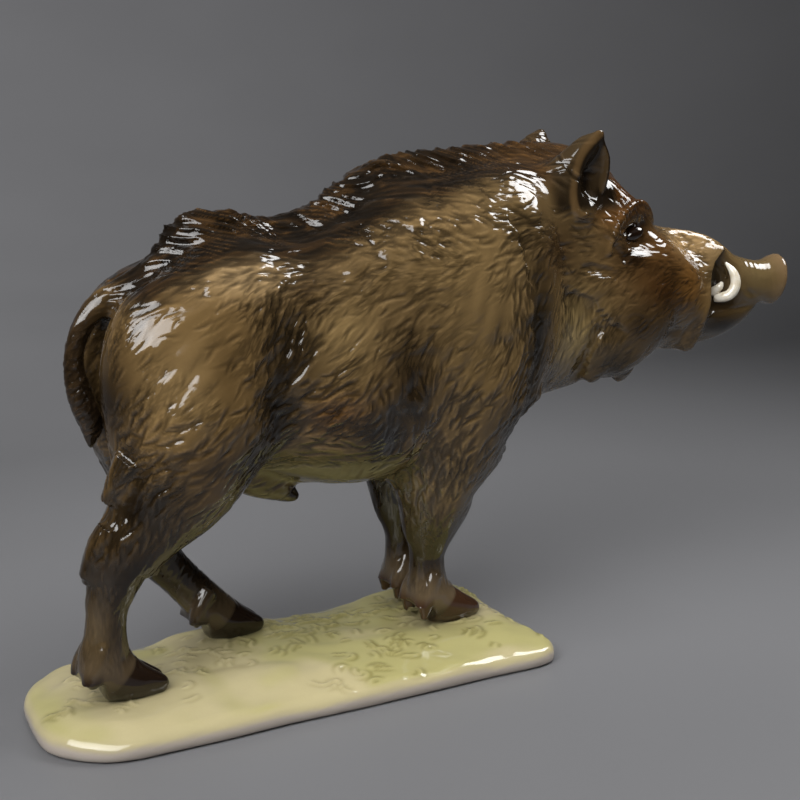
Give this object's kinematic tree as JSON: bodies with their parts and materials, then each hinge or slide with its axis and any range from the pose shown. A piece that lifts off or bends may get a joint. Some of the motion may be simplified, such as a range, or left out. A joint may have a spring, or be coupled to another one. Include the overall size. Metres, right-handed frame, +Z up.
{
  "type": "boar figurine",
  "caption": "Glazed porcelain wild boar standing on a low ground plinth, with a bristling mane, tusks and a hanging tufted tail; a display ornament.",
  "frame": {"origin": "centre of the plinth's flat underside", "axes": "+X towards the boar's head along the plinth, +Y the boar's left side, +Z up"},
  "size_m": [0.4057, 0.1179, 0.2465],
  "materials": {
    "ground_glaze": "cream porcelain with a yellow-green wash under a clear gloss glaze",
    "brown_glaze": "underglaze brown and black brushed over carved fur, under a clear gloss glaze"
  },
  "bodies": {
    "root": {"plinth": "ground_glaze", "boar": "brown_glaze"}
  },
  "joints": []
}
